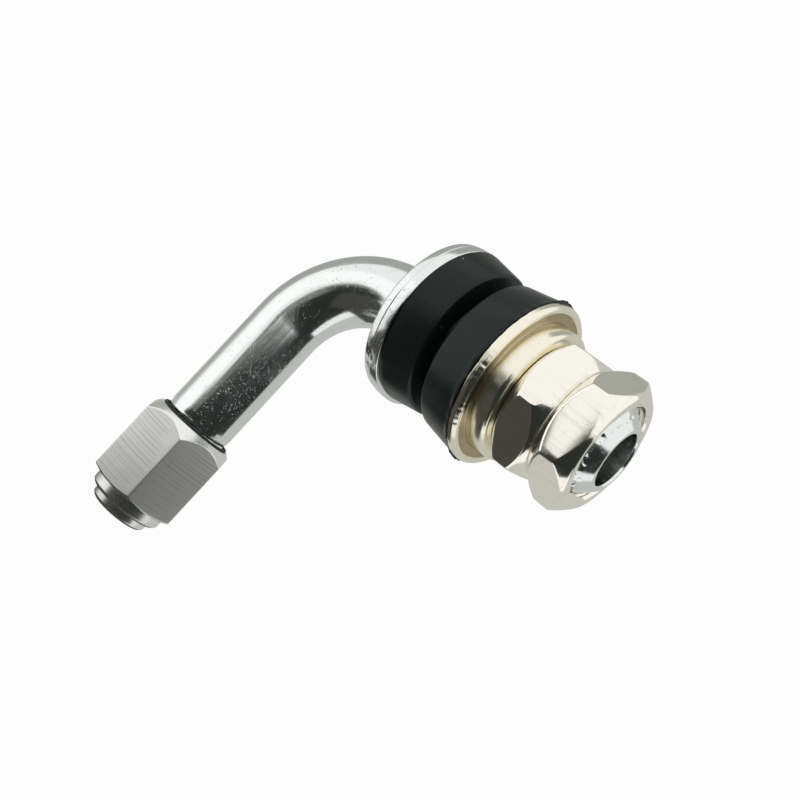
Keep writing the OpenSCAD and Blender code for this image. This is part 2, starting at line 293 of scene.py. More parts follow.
@dataclass(frozen=True)
class Hexagon:
    """A hexagon with slightly rounded corners, seen along its leg."""

    across_flats: float
    corner_angle: float
    edge: float = 0.12

    @property
    def corner_radius(self) -> float:
        """Distance from the axis to a corner before it is rounded."""
        return self.across_flats / 2 / math.cos(math.pi / 6)

    @property
    def _flat_reach(self) -> float:
        """Angle from the middle of a flat to the start of its rounded corner."""
        inner = self.across_flats / 2 - self.edge
        return math.atan2(inner * math.tan(math.pi / 6), self.across_flats / 2)

    def angles(self, flat_steps: int = 14, edge_steps: int = 6) -> list[float]:
        """Angles once round, close together at the corners.

        Args:
            flat_steps: Steps along each flat.
            edge_steps: Steps round each corner.

        Returns:
            The angles, in radians.
        """
        reach = self._flat_reach
        rest = math.pi / 3 - 2 * reach
        sector = [-reach + 2 * reach * i / flat_steps for i in range(flat_steps)]
        sector += [reach + rest * i / edge_steps for i in range(edge_steps)]
        middle = self.corner_angle + math.pi / 6
        return [middle + math.pi / 3 * flat + a for flat in range(6) for a in sector]

    def radius(self, angle: float) -> float:
        """Measures from the axis to the outline.

        Args:
            angle: Angle round the axis, in radians.

        Returns:
            The distance, in millimetres.
        """
        middle = self.corner_angle + math.pi / 6
        off = abs((angle - middle + math.pi / 6) % (math.pi / 3) - math.pi / 6)
        if off <= self._flat_reach:
            return self.across_flats / 2 / math.cos(off)
        centre = (self.across_flats / 2 - self.edge) / math.cos(math.pi / 6)
        along = centre * math.cos(math.pi / 6 - off)
        across = centre * math.sin(math.pi / 6 - off)
        return along + math.sqrt(max(self.edge**2 - across**2, 0.0))


def skin(
    name: str,
    place: Callable[[float, float, float], Point],
    angles: Sequence[float],
    section_at: Callable[[float], Section],
    closed: bool,
) -> bpy.types.Object:
    """Skins a section that is swept once round an axis or a centreline.

    Args:
        name: Name of the new object.
        place: Turns a radius, an angle and a station into a point in metres.
        angles: Angles at which the section is taken.
        section_at: Gives the section's points at an angle.
        closed: Whether the section is a loop. An open section gets a cap at both ends.

    Returns:
        The new object, shaded smooth and linked to the scene.
    """
    points: list[Point] = []
    size = 0
    for angle in angles:
        section = section_at(angle)
        size = len(section)
        points += [place(radius, angle, station) for radius, station in section]
    turns = len(angles)
    faces: list[tuple[int, ...]] = []
    for i in range(turns):
        here = i * size
        there = (i + 1) % turns * size
        for j in range(size if closed else size - 1):
            k = (j + 1) % size
            faces.append((here + j, there + j, there + k, here + k))
    if not closed:
        faces.append(tuple(i * size for i in range(turns)))
        faces.append(tuple(i * size + size - 1 for i in reversed(range(turns))))
    return shell(name, points, faces)


def shell(name: str, points: Sequence[Point], faces: Sequence[tuple[int, ...]]) -> bpy.types.Object:
    """Makes a closed piece from its points and faces.

    Args:
        name: Name of the new object.
        points: The points in metres.
        faces: The faces by the numbers of their points, all turned the same way.

    Returns:
        The new object, shaded smooth and linked to the scene.
    """
    mesh = bpy.data.meshes.new(name)
    mesh.from_pydata(points, [], faces)
    mesh.polygons.foreach_set("use_smooth", [True] * len(faces))
    mesh.set_sharp_from_angle(angle=SHARP_ANGLE)
    made = bpy.data.objects.new(name, mesh)
    bpy.context.scene.collection.objects.link(made)
    face_outwards(made)
    return made


def face_outwards(piece: bpy.types.Object) -> None:
    """Turns a closed mesh's faces so that they look out of it.

    Args:
        piece: The piece whose mesh is closed.
    """
    mesh = piece.data
    volume = 0.0
    mesh.calc_loop_triangles()
    for triangle in mesh.loop_triangles:
        a, b, c = (mesh.vertices[i].co for i in triangle.vertices)
        volume += a.dot(b.cross(c))
    if volume < 0:
        mesh.flip_normals()


@dataclass
class Graph:
    """Adds nodes and links to one shader tree."""

    tree: bpy.types.NodeTree

    def add(self, kind: str, **settings: object) -> bpy.types.Node:
        """Adds a node.

        Args:
            kind: Blender's name for the kind of node.
            **settings: Properties of the node to set.

        Returns:
            The node.
        """
        node = self.tree.nodes.new(kind)
        for key, value in settings.items():
            setattr(node, key, value)
        return node

    def feed(self, node: bpy.types.Node, socket: str | int, value: object) -> None:
        """Links an output to a node's input, or sets the input to a value.

        Args:
            node: The node that is fed.
            socket: Name or number of its input.
            value: A socket or a value.
        """
        if isinstance(value, bpy.types.NodeSocket):
            self.tree.links.new(value, node.inputs[socket])
        else:
            node.inputs[socket].default_value = value

    def math(self, operation: str, a: object, b: object = 0.0) -> bpy.types.NodeSocket:
        """Does a sum on one or two values.

        Args:
            operation: Blender's name for the sum.
            a: First value or socket.
            b: Second value or socket.

        Returns:
            The socket of the result.
        """
        node = self.add("ShaderNodeMath", operation=operation)
        self.feed(node, 0, a)
        self.feed(node, 1, b)
        return node.outputs[0]

    def scaled(self, vector: object, factor: object) -> bpy.types.NodeSocket:
        """Multiplies a vector by a vector.

        Args:
            vector: The vector's socket.
            factor: What each of its parts is multiplied by.

        Returns:
            The socket of the product.
        """
        node = self.add("ShaderNodeVectorMath", operation="MULTIPLY")
        self.feed(node, 0, vector)
        self.feed(node, 1, factor)
        return node.outputs[0]

    def ramp(self, value: object, start: object, stop: object) -> bpy.types.NodeSocket:
        """Runs smoothly from 0 to 1 as a value goes from start to stop.

        Args:
            value: The socket to read.
            start: Where the ramp is 0.
            stop: Where the ramp is 1.

        Returns:
            The socket of the ramp.
        """
        node = self.add("ShaderNodeMapRange", interpolation_type="SMOOTHSTEP")
        self.feed(node, "Value", value)
        self.feed(node, "From Min", start)
        self.feed(node, "From Max", stop)
        return node.outputs["Result"]

    def blend(self, share: object, first: object, second: object) -> bpy.types.NodeSocket:
        """Mixes two colours.

        Args:
            share: Share of the second colour.
            first: First colour.
            second: Second colour.

        Returns:
            The socket of the colour.
        """
        node = self.add("ShaderNodeMix", data_type="RGBA")
        for socket, value in zip(MIX_INPUTS, (share, first, second)):
            self.feed(node, socket, value)
        return node.outputs[MIX_OUTPUT]

    def place(self) -> bpy.types.NodeSocket:
        """The place on the piece, which moves with it, in metres."""
        return self.add("ShaderNodeTexCoord").outputs["Object"]


def rgba(colour: Colour) -> tuple[float, float, float, float]:
    """A colour with full alpha."""
    return (*colour, 1.0)


class Effect(Enum):
    """Surface effects that several finishes share."""

    SCRATCHES = "hair scratches"
    SPECKS = "specks"
    CLOUDS = "clouds"
    TOOL_LINES = "tool lines"


@dataclass
class Effects:
    """Builds each shared effect once, as a shader node group."""

    made: dict[Effect, bpy.types.NodeTree] = field(default_factory=dict)

    def use(self, graph: Graph, effect: Effect, **values: object) -> bpy.types.NodeSocket:
        """Places an effect in a material.

        Args:
            graph: The material's graph.
            effect: The effect to place.
            **values: Its inputs, by their names.

        Returns:
            The effect's only output.
        """
        if effect not in self.made:
            self.made[effect] = self._build(effect)
        node = graph.add("ShaderNodeGroup", node_tree=self.made[effect], label=effect.value)
        for key, value in values.items():
            graph.feed(node, key, value)
        return node.outputs[0]

    def clouds(
        self, graph: Graph, place: object, scale: float, detail: float
    ) -> bpy.types.NodeSocket:
        """Places soft patches in a material."""
        return self.use(graph, Effect.CLOUDS, Vector=place, Scale=scale, Detail=detail)

    def scratches(
        self, graph: Graph, place: object, scale: float, width: float
    ) -> bpy.types.NodeSocket:
        """Places fine strokes in a material."""
        return self.use(graph, Effect.SCRATCHES, Vector=place, Scale=scale, Width=width)

    def specks(
        self, graph: Graph, place: object, scale: float, share: float, size: float
    ) -> bpy.types.NodeSocket:
        """Places small spots in a material."""
        return self.use(graph, Effect.SPECKS, Vector=place, Scale=scale, Share=share, Size=size)

    def _build(self, effect: Effect) -> bpy.types.NodeTree:
        """Makes the node group of an effect.

        Args:
            effect: The effect to make.

        Returns:
            Its node group.
        """
        makers = {
            Effect.SCRATCHES: self._scratches,
            Effect.SPECKS: self._specks,
            Effect.CLOUDS: self._clouds,
            Effect.TOOL_LINES: self._tool_lines,
        }
        tree = bpy.data.node_groups.new(effect.value, "ShaderNodeTree")
        makers[effect](Graph(tree))
        return tree

    @staticmethod
    def _sockets(graph: Graph, output: str, **inputs: str) -> tuple[bpy.types.Node, bpy.types.Node]:
        """Gives a group its inputs and one float output.

        Args:
            graph: The group's graph.
            output: Name of the output.
            **inputs: Kind of each input, by its name.

        Returns:
            The group's input and output nodes.
        """
        for name, kind in inputs.items():
            graph.tree.interface.new_socket(name, in_out="INPUT", socket_type=f"NodeSocket{kind}")
        graph.tree.interface.new_socket(output, in_out="OUTPUT", socket_type="NodeSocketFloat")
        return graph.add("NodeGroupInput"), graph.add("NodeGroupOutput")

    def _scratches(self, graph: Graph) -> None:
        """Draws short straight strokes three ways, where stretched noise crosses its middle.

        Args:
            graph: The group's graph.
        """
        source, sink = self._sockets(graph, "Mask", Vector="Vector", Scale="Float", Width="Float")
        directions = ((0.3, 0.5, 0.9), (1.1, 2.2, 0.2), (2.4, 0.9, 1.7))
        along_stroke = (1.0, 0.02, 0.02)
        middle = 0.5
        shown: Range = (0.58, 0.66)
        mask: object = 0.0
        for direction in directions:
            turned = graph.add("ShaderNodeVectorRotate", rotation_type="EULER_XYZ")
            graph.feed(turned, "Vector", source.outputs["Vector"])
            graph.feed(turned, "Rotation", direction)
            stretched = graph.scaled(turned.outputs[0], along_stroke)
            wave = self._noise(graph, stretched, source.outputs["Scale"])
            gate = self._noise(graph, turned.outputs[0], source.outputs["Scale"])
            off = graph.math("ABSOLUTE", graph.math("SUBTRACT", wave, middle))
            line = graph.math("SUBTRACT", 1.0, graph.ramp(off, 0.0, source.outputs["Width"]))
            stroke = graph.math("MULTIPLY", line, graph.ramp(gate, *shown))
            mask = graph.math("MAXIMUM", stroke, mask)
        graph.feed(sink, "Mask", mask)

    @staticmethod
    def _noise(graph: Graph, vector: object, scale: object) -> bpy.types.NodeSocket:
        """Adds plain noise of one octave.

        Args:
            graph: The group's graph.
            vector: Where the noise is read.
            scale: How fine it is.

        Returns:
            The socket of the noise.
        """
        node = graph.add("ShaderNodeTexNoise")
        graph.feed(node, "Vector", vector)
        graph.feed(node, "Scale", scale)
        graph.feed(node, "Detail", 0.0)
        return node.outputs[0]

    def _specks(self, graph: Graph) -> None:
        """Draws small round spots in a share of the cells.

        Args:
            graph: The group's graph.
        """
        inputs = {"Vector": "Vector", "Scale": "Float", "Share": "Float", "Size": "Float"}
        source, sink = self._sockets(graph, "Mask", **inputs)
        cells = graph.add("ShaderNodeTexVoronoi")
        graph.feed(cells, "Vector", source.outputs["Vector"])
        graph.feed(cells, "Scale", source.outputs["Scale"])
        fade = graph.ramp(cells.outputs["Distance"], 0.0, source.outputs["Size"])
        spot = graph.math("SUBTRACT", 1.0, fade)
        channels = graph.add("ShaderNodeSeparateColor")
        graph.feed(channels, 0, cells.outputs["Color"])
        chosen = graph.math("LESS_THAN", channels.outputs[0], source.outputs["Share"])
        graph.feed(sink, "Mask", graph.math("MULTIPLY", spot, chosen))

    def _clouds(self, graph: Graph) -> None:
        """Draws soft irregular patches.

        Args:
            graph: The group's graph.
        """
        source, sink = self._sockets(graph, "Value", Vector="Vector", Scale="Float", Detail="Float")
        wave = graph.add("ShaderNodeTexNoise")
        for name in ("Vector", "Scale", "Detail"):
            graph.feed(wave, name, source.outputs[name])
        graph.feed(sink, "Value", wave.outputs[0])

    def _tool_lines(self, graph: Graph) -> None:
        """Draws the uneven lines of a cutter, at a spacing along one measure.

        Args:
            graph: The group's graph.
        """
        source, sink = self._sockets(graph, "Height", Along="Float", Spacing="Float")
        wave = graph.add("ShaderNodeTexNoise", noise_dimensions="1D")
        passed = graph.math("DIVIDE", source.outputs["Along"], source.outputs["Spacing"])
        graph.feed(wave, "W", passed)
        graph.feed(wave, "Scale", 1.0)
        graph.feed(wave, "Detail", 2.0)
        graph.feed(sink, "Height", wave.outputs[0])


class Finish:
    """A finish that makes its material once and then shares it."""

    name: str

    def material(self, effects: Effects) -> bpy.types.Material:
        """Gives the finish's material.

        Args:
            effects: The shared effects.

        Returns:
            The material, which the first call makes.
        """
        made = bpy.data.materials.get(self.name)
        if made is None:
            made = bpy.data.materials.new(self.name)
            made.use_nodes = True
            graph = Graph(made.node_tree)
            self.dress(graph, graph.tree.nodes["Principled BSDF"], effects)
        return made

    def dress(self, graph: Graph, shader: bpy.types.Node, effects: Effects) -> None:
        """Sets the shader's inputs."""
        raise NotImplementedError

    @staticmethod
    def bump(graph: Graph, shader: bpy.types.Node, height: object, depth: float) -> None:
        """Feeds a height to the shader's normal.

        Args:
            graph: The material's graph.
            shader: Its shader.
            height: The height's socket.
            depth: Depth of a height of 1, in millimetres.
        """
        node = graph.add("ShaderNodeBump")
        graph.feed(node, "Strength", 1.0)
        graph.feed(node, "Distance", depth * MM)
        graph.feed(node, "Height", height)
        graph.feed(shader, "Normal", node.outputs[0])


@dataclass(frozen=True)
class PlatedMetal(Finish):
    """Polished plate with fine strokes, pits, slightly dull patches and the streaks of drawn stock.

    Depths are in millimetres.
    """

    name: str
    colour: Colour
    shade: Colour
    roughness: float
    dullness: float
    stroke_depth: float
    pit_depth: float
    pit_share: float
    wave_depth: float
    streaks: float = 0.0
    patch_scale: float = 260.0
    dull_range: Range = (0.45, 0.75)
    pitted_range: Range = (0.35, 0.65)
    stroke_scale: float = 1400.0
    stroke_width: float = 0.010
    pit_scale: float = 2600.0
    pit_size: float = 0.26
    grit_scale: float = 5600.0
    grit_size: float = 0.34
    wave_scale: float = 420.0
    streak_scale: float = 2200.0
    streak_stretch: Point = (1.0, 1.0, 0.05)
    streak_range: Range = (0.50, 0.75)
    streak_dullness: float = 0.4

    def dress(self, graph: Graph, shader: bpy.types.Node, effects: Effects) -> None:
        """Sets the shader's inputs.

        Args:
            graph: The material's graph.
            shader: Its shader.
            effects: The shared effects.
        """
        place = graph.place()
        patches = effects.clouds(graph, place, self.patch_scale, detail=4.0)
        strokes = effects.scratches(graph, place, self.stroke_scale, self.stroke_width)
        pits = effects.specks(graph, place, self.pit_scale, self.pit_share, self.pit_size)
        grit = effects.specks(graph, place, self.grit_scale, self.pit_share, self.grit_size)
        waves = effects.clouds(graph, place, self.wave_scale, detail=1.0)
        lengthwise = graph.scaled(place, self.streak_stretch)
        drawn = effects.clouds(graph, lengthwise, self.streak_scale, detail=3.0)
        streak = graph.math("MULTIPLY", graph.ramp(drawn, *self.streak_range), self.streaks)
        dull = graph.math("MULTIPLY", graph.ramp(patches, *self.dull_range), self.dullness)
        worn = graph.math("ADD", dull, graph.math("MULTIPLY", streak, self.streak_dullness))
        shader.inputs["Metallic"].default_value = 1.0
        graph.feed(shader, "Roughness", graph.math("ADD", worn, self.roughness))
        stain = graph.math("MAXIMUM", pits, streak)
        graph.feed(shader, "Base Color", graph.blend(stain, rgba(self.colour), rgba(self.shade)))
        spread = graph.math("MULTIPLY", graph.ramp(patches, *self.pitted_range), self.pit_depth)
        holes = graph.math("MULTIPLY", graph.math("MAXIMUM", pits, grit), spread)
        cuts = graph.math("ADD", graph.math("MULTIPLY", strokes, self.stroke_depth), holes)
        height = graph.math("SUBTRACT", graph.math("MULTIPLY", waves, self.wave_depth), cuts)
        self.bump(graph, shader, height, depth=1.0)


@dataclass(frozen=True)
class CutMetal(Finish):
    """Metal with the lines of the tool that cut it, as bumps, with painted shade darkening the
    lines in its colour. Depths and the spacing are in millimetres.
    """

    name: str
    colour: Colour
    shade: Colour
    roughness: float
    spacing: float
    line_depth: float
    # Strength of the painted shade that darkens the tool lines' colour
    line_shade: float = 0.3
    arc: float = 0.0
    patch_scale: float = 320.0
    dullness: float = 0.16
    fade_range: Range = (0.35, 0.60)
    groove_range: Range = (0.48, 0.66)
    stroke_scale: float = 1100.0
    stroke_width: float = 0.012
    stroke_sink: float = 0.35
    pit_scale: float = 3000.0
    pit_share: float = 0.10
    pit_size: float = 0.3
    pit_sink: float = 0.6

    def dress(self, graph: Graph, shader: bpy.types.Node, effects: Effects) -> None:
        """Sets the shader's inputs.

        Args:
            graph: The material's graph.
            shader: Its shader.
            effects: The shared effects.
        """
        place = graph.place()
        axes = graph.add("ShaderNodeSeparateXYZ")
        graph.feed(axes, 0, place)
        across = graph.math("POWER", axes.outputs[1], 2.0)
        up = graph.math("POWER", graph.math("SUBTRACT", axes.outputs[2], LEG_Z * MM), 2.0)
        sweep = graph.math("MULTIPLY", graph.math("ADD", across, up), self.arc / MM)
        along = graph.math("ADD", axes.outputs[0], sweep)
        lines = effects.use(graph, Effect.TOOL_LINES, Along=along, Spacing=self.spacing * MM)
        patches = effects.clouds(graph, place, self.patch_scale, detail=5.0)
        strokes = effects.scratches(graph, place, self.stroke_scale, self.stroke_width)
        pits = effects.specks(graph, place, self.pit_scale, self.pit_share, self.pit_size)
        shader.inputs["Metallic"].default_value = 1.0
        dull = graph.math("MULTIPLY", patches, self.dullness)
        graph.feed(shader, "Roughness", graph.math("ADD", dull, self.roughness))
        # Painted shade: the tool lines are darkened in the base colour, fainter in some patches
        faint = graph.math("MULTIPLY", graph.ramp(patches, *self.fade_range), self.line_shade)
        painted_groove_shade = graph.math("MULTIPLY", graph.ramp(lines, *self.groove_range), faint)
        # The stain mixes real pits with the painted shade of the tool lines
        stain = graph.math("MAXIMUM", pits, painted_groove_shade)
        graph.feed(shader, "Base Color", graph.blend(stain, rgba(self.colour), rgba(self.shade)))
        scratched = graph.math("MULTIPLY", strokes, self.stroke_sink)
        cuts = graph.math("ADD", scratched, graph.math("MULTIPLY", pits, self.pit_sink))
        height = graph.math("SUBTRACT", graph.math("SUBTRACT", 1.0, lines), cuts)
        self.bump(graph, shader, height, self.line_depth)


@dataclass(frozen=True)
class MouldedRubber(Finish):
    """Dark or coloured rubber with a fine grain, dull patches and a little dust."""

    name: str
    colour: Colour
    dust: Colour
    roughness: float
    grain_depth: float
    dust_share: float
    gloss: float = 0.25
    sheen: Colour = WHITE
    grain_scale: float = 2600.0
    patch_scale: float = 240.0
    patch_middle: float = 0.5
    patch_swing: float = 0.3
    dust_scale: float = 900.0
    dust_size: float = 0.12

    def dress(self, graph: Graph, shader: bpy.types.Node, effects: Effects) -> None:
        """Sets the shader's inputs.

        Args:
            graph: The material's graph.
            shader: Its shader.
            effects: The shared effects.
        """
        place = graph.place()
        grain = effects.clouds(graph, place, self.grain_scale, detail=3.0)
        patches = effects.clouds(graph, place, self.patch_scale, detail=4.0)
        specks = effects.specks(graph, place, self.dust_scale, self.dust_share, self.dust_size)
        off_middle = graph.math("SUBTRACT", patches, self.patch_middle)
        rough = graph.math("MULTIPLY", off_middle, self.patch_swing)
        shader.inputs["Specular IOR Level"].default_value = self.gloss
        shader.inputs["Specular Tint"].default_value = rgba(self.sheen)
        graph.feed(shader, "Roughness", graph.math("ADD", rough, self.roughness))
        graph.feed(shader, "Base Color", graph.blend(specks, rgba(self.colour), rgba(self.dust)))
        self.bump(graph, shader, grain, self.grain_depth)


CHROME = PlatedMetal(
    "chrome_plate",
    colour=(0.82, 0.85, 0.83),
    shade=(0.30, 0.31, 0.30),
    roughness=0.14,
    dullness=0.08,
    stroke_depth=0.0030,
    pit_depth=0.030,
    pit_share=0.16,
    wave_depth=0.006,
)
NICKEL = PlatedMetal(
    "warm_nickel_plate",
    colour=(0.92, 0.875, 0.745),
    shade=(0.42, 0.36, 0.26),
    roughness=0.17,
    dullness=0.06,
    stroke_depth=0.0010,
    pit_depth=0.012,
    pit_share=0.06,
    wave_depth=0.0,
)
# Painted shade: a darker, golden-brown and rougher nickel for the washer's channel
CHANNEL_SHADE_NICKEL = replace(
    NICKEL,
    name="painted_shade_nickel_plate",
    colour=(0.43, 0.355, 0.215),
    shade=(0.22, 0.17, 0.09),
    roughness=0.24,
    dullness=0.10,
)
DRAWN_NICKEL = PlatedMetal(
    "drawn_nickel_plate",
    colour=(0.95, 0.92, 0.84),
    shade=(0.42, 0.36, 0.26),
    roughness=0.10,
    dullness=0.07,
    stroke_depth=0.0008,
    pit_depth=0.012,
    pit_share=0.05,
    wave_depth=0.002,
    streaks=0.16,
)
SATIN_CAP = CutMetal(
    "cut_aluminium",
    colour=(0.78, 0.785, 0.75),
    shade=(0.42, 0.42, 0.40),
    roughness=0.38,
    spacing=0.17,
    line_depth=0.009,
    line_shade=0.50,
    arc=0.012,
)
TURNED_CAP = CutMetal(
    "turned_aluminium",
    colour=(0.88, 0.885, 0.86),
    shade=(0.50, 0.50, 0.48),
    roughness=0.20,
    spacing=0.07,
    line_depth=0.0015,
    line_shade=0.20,
)
BRASS = CutMetal(
    "turned_brass",
    colour=(0.76, 0.60, 0.30),
    shade=(0.40, 0.28, 0.12),
    roughness=0.20,
    spacing=0.05,
    line_depth=0.003,
)
SPRING_WIRE = CutMetal(
    "spring_wire",
    colour=(0.56, 0.56, 0.57),
    shade=(0.25, 0.25, 0.26),
    roughness=0.25,
    spacing=0.03,
    line_depth=0.001,
)
GROMMET_RUBBER = MouldedRubber(
    "moulded_rubber",
    colour=(0.005, 0.0072, 0.0068),
    dust=(0.55, 0.55, 0.52),
    roughness=0.30,
    grain_depth=0.012,
    dust_share=0.08,
    gloss=0.27,
    sheen=(0.86, 1.0, 0.94),
)
SEAL_RUBBER = MouldedRubber(
    "seal_rubber",
    colour=(0.012, 0.012, 0.013),
    dust=(0.20, 0.20, 0.20),
    roughness=0.55,
    grain_depth=0.02,
    dust_share=0.02,
)
RED_GASKET = MouldedRubber(
    "gasket_red",
    colour=(0.45, 0.05, 0.04),
    dust=(0.45, 0.10, 0.08),
    roughness=0.6,
    grain_depth=0.01,
    dust_share=0.02,
)


@dataclass
class Assembly:
    """A sub-assembly that builds its pieces on the frame and dresses them."""

    effects: Effects

    def build(self) -> None:
        """Makes the sub-assembly's pieces."""
        raise NotImplementedError

    def dress(self) -> None:
        """Gives the sub-assembly's pieces their finishes."""
        raise NotImplementedError

    def stand_for(self, piece: bpy.types.Object, node: str, slot: str) -> None:
        """Lets a piece ride and stand in for a CAD node, and reports it.

        Args:
            piece: The new piece.
            node: The CAD node that it replaces.
            slot: The record's material slot; not used.
        """
        bodies = frame["record"]["behaviour"]["bodies"]
        body = next(name for name, nodes in bodies.items() if node in nodes)
        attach(piece, body)
        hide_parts(node)
        count = len(piece.data.polygons)
        LOG.info("%s stands for %s on %s: %d faces", piece.name, node, body, count)

    def coat(self, piece: bpy.types.Object, *finishes: Finish) -> None:
        """Gives a piece its finishes, the first one all over.

        Args:
            piece: A new piece or a CAD solid.
            *finishes: Its finishes, in the order of their numbers.
        """
        piece.data.materials.clear()
        for finish in finishes:
            piece.data.materials.append(finish.material(self.effects))


@dataclass
class BentStem(Assembly):
    """Flange, threaded nut leg, bend and threaded mouth, with the air passage through them."""

    piece: bpy.types.Object | None = None
    bend_radius: float = 10.3
    tube_radius: float = 3.9
    air_radius: float = 1.6
    flange_thickness: float = 2.1
    flange_band: float = 1.0
    flange_bevel: float = 0.2
    flange_root: float = 0.35
    flange_line: float = 0.06
    leg_radius: float = 5.0
    leg_taper: float = 1.6
    leg_rim: float = 0.35
    leg_bore: float = 2.9
    leg_flare: float = 0.15
    leg_thread_start: float = 4.6
    broken: float = 0.35
    mouth_thread_length: float = 10.2
    mouth_radius: float = 3.85
    mouth_chamfer: float = 0.5
    core_bore: float = 2.6
    seat_top: float = 27.5
    seat_low: float = 26.3
    chamber_radius: float = 1.9
    chamber_start: float = 17.45
    edge: float = 0.12
    line_edge: float = 0.05
    line_rise: float = 0.02
    seat_gap: float = 0.1
    thread_gap: float = 0.2
    leg_pitch: float = 1.0
    leg_thread_depth: float = 0.55
    mouth_pitch: float = INCH / 32
    mouth_thread_depth: float = 0.38
    mouth_relief: float = 0.4
    core_pitch: float = INCH / 36
    core_thread_depth: float = 0.25
    core_thread_gap: float = 0.3
    core_lead: float = 0.25
    broken_reach: float = 0.8
    broken_within: float = 1.0
    broken_grain: float = 1.7
    taper_steps: int = 32
    bend_steps: int = 56
    passage_steps: int = 24
    round_steps: int = 160

    def build(self) -> None:
        """Makes the stem as one skin, out along its outside and back through its passage."""
        self.piece = self._skin()
        self.stand_for(self.piece, "bent_stem", "stem_chrome")

    def dress(self) -> None:
        """Plates the stem."""
        self.coat(self.piece, CHROME)

    def _skin(self) -> bpy.types.Object:
        """Sweeps the stem's section along its centreline.

        Returns:
            The stem.
        """
        bend_top = LEG_Z + self.bend_radius
        path = StemPath(self.bend_radius, bend_top)
        section, threads = self._section(path)

        def section_at(angle: float) -> Section:
            """Cuts the threads into the section.

            Args:
                angle: Angle round the centreline, in radians.

            Returns:
                The section's points, as radius and station in millimetres.
            """
            cut = []
            for radius, station in section:
                for thread in threads:
                    radius = thread.shape(radius, angle, station)
                cut.append((radius - self._broken_off(radius, angle, station), station))
            return cut

        angles = round_angles(self.round_steps)
        return skin("chromed_stem", path.place, angles, section_at, closed=True)

    def _broken_off(self, radius: float, angle: float, station: float) -> float:
        """Breaks the first thread away near the foot of the taper.

        Args:
            radius: The place's radius, with the threads cut.
            angle: Its angle round the centreline, in radians.
            station: Its station along the centreline.

        Returns:
            The depth that is missing, in millimetres.
        """
        past = station + high("bent_stem").z - self.leg_taper
        if abs(past) > self.broken_reach or radius < self.leg_radius - self.broken_within:
            return 0.0
        spot = on_circle(angle, past / self.leg_radius) * self.leg_radius
        return self.broken * max(noise.noise(spot * self.broken_grain), 0.0)

    def _section(self, path: StemPath) -> tuple[Section, list[Thread]]:
        """Draws the closed section, out along the outside and back through the passage.

        Args:
            path: The stem's centreline.

        Returns:
            The section's points before the threads are cut, and the threads.
        """
        end = -high("bent_stem").z
        seat = -low("grommet").z
        flange_back = seat + self.flange_thickness
        mouth = path.on_cap_leg(high("bent_stem").x)
        thread_start = mouth - self.mouth_thread_length
        line = flange_back - self.flange_band
        leg = Thread(
            self.leg_radius,
            end + self.thread_gap,
            -self.leg_thread_start,
            self.leg_pitch,
            self.leg_thread_depth,
            winding=1,
        )
        tip = Thread(
            self.mouth_radius,
            thread_start + self.mouth_relief,
            mouth - self.thread_gap,
            self.mouth_pitch,
            self.mouth_thread_depth,
            winding=1,
        )
        core = Thread(
            self.core_bore,
            path.on_cap_leg(self.seat_top),
            mouth - self.core_thread_gap,
            self.core_pitch,
            -self.core_thread_depth,
            winding=1,
        )
        flange = outer_radius("bent_stem")
        leg_mouth = self.leg_bore + self.leg_flare
        rim = Corner(leg_mouth + self.leg_rim, end, self.edge)
        foot = Corner(self.leg_radius, end + self.leg_taper)
        outside = rounded([Corner(leg_mouth, end), rim, foot])[1:-1]
        outside += run(rim, foot, self.taper_steps)[2:]
        outside += [(self.leg_radius, s) for s in leg.stations() if s > foot.station]
        outside += rounded(
            [
                Corner(self.leg_radius, seat - self.seat_gap),
                Corner(self.leg_radius, seat),
                Corner(flange, seat, self.edge),
                Corner(flange, line - self.flange_line, self.line_edge),
                Corner(flange - self.flange_line, line),
                Corner(flange - self.line_rise, line + self.flange_line, self.line_edge),
                Corner(flange - self.flange_bevel, flange_back, self.edge * 2),
                Corner(self.tube_radius, flange_back, self.flange_root),
                Corner(self.tube_radius, path.bend_start),
            ]
        )
        arc = path.bend_stop - path.bend_start
        bend = [path.bend_start + arc * i / self.bend_steps for i in range(1, self.bend_steps + 1)]
        tube = [*bend, thread_start - self.mouth_relief, thread_start]
        outside += [(self.tube_radius, s) for s in tube]
        chamfer = mouth - self.mouth_chamfer
        outside += [(self.mouth_radius, s) for s in tip.stations() if s < chamfer]
        outside += rounded(
            [
                Corner(self.mouth_radius, chamfer),
                Corner(self.mouth_radius - self.mouth_chamfer, mouth, self.edge),
                Corner(self.core_bore + self.core_lead, mouth, self.edge),
                Corner(self.core_bore, mouth - self.core_lead),
            ]
        )
        passage = [(self.core_bore, s) for s in reversed(core.stations())]
        chamber = path.on_cap_leg(self.chamber_start)
        passage += [
            (self.chamber_radius, path.on_cap_leg(self.seat_low)),
            (self.chamber_radius, chamber),
            (self.air_radius, chamber - self.chamber_radius + self.air_radius),
        ]
        passage += [
            (self.air_radius, path.bend_stop - arc * i / self.passage_steps)
            for i in range(self.passage_steps + 1)
        ]
        passage += [
            (self.air_radius, flange_back),
            (self.leg_bore, flange_back - self.leg_bore + self.air_radius),
        ]
        passage += rounded(
            [
                Corner(self.leg_bore, 0.0),
                Corner(self.leg_bore, end + self.leg_flare, self.edge),
                Corner(leg_mouth, end, self.edge),
                rim,
            ]
        )[:-1]
        return outside + passage, [leg, tip, core]


